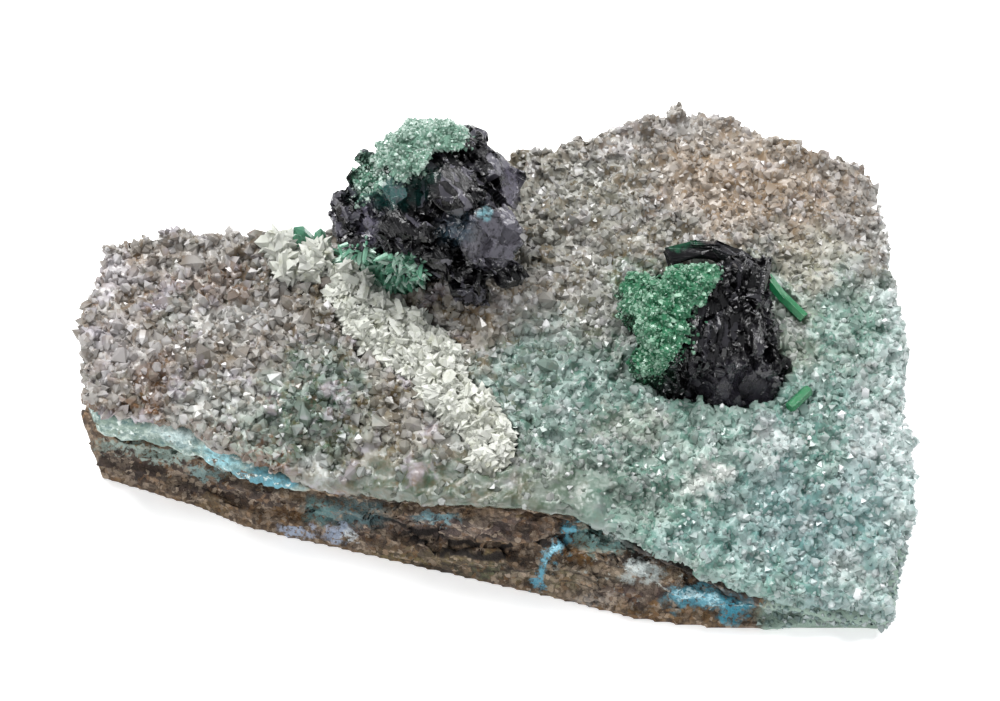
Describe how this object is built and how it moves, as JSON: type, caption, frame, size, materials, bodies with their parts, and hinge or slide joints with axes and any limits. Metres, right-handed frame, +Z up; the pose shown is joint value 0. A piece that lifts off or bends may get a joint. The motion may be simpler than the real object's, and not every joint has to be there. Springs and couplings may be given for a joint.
{
  "type": "mineral specimen",
  "caption": "Display mineral specimen: brown host rock under a quartz druse, with black clinoatacamite clusters, green crusts and a chain of white crystals, resting on a flat trimmed underside.",
  "frame": {"origin": "middle of the footprint, on the plane of the flat trimmed underside", "axes": "+X along the specimen's length to the viewer's right, +Y away from the viewer, +Z up"},
  "size_m": [0.0588, 0.0372, 0.0217],
  "materials": {
    "host_rock": "rough broken brown rock",
    "chrysocolla": "chalky blue-green layer",
    "drusy_quartz": "glittering crust of small clear crystals, tinted green by what lies below",
    "clinoatacamite": "glossy black crystal faces with a green tint",
    "green_crystals": "glassy green crystals",
    "white_crystals": "satin white crystals"
  },
  "bodies": {
    "root": {"host_rock": "host_rock", "chrysocolla_seam": "chrysocolla", "quartz_druse": "drusy_quartz", "clinoatacamite_back": "clinoatacamite", "clinoatacamite_front": "clinoatacamite", "clinoatacamite_blade": "clinoatacamite", "green_cap_back": "green_crystals", "green_foot_back": "green_crystals", "green_crust_front": "green_crystals", "green_point": "green_crystals", "green_rod_1": "green_crystals", "green_rod_2": "green_crystals", "white_chain": "white_crystals", "white_group": "white_crystals"}
  },
  "joints": []
}
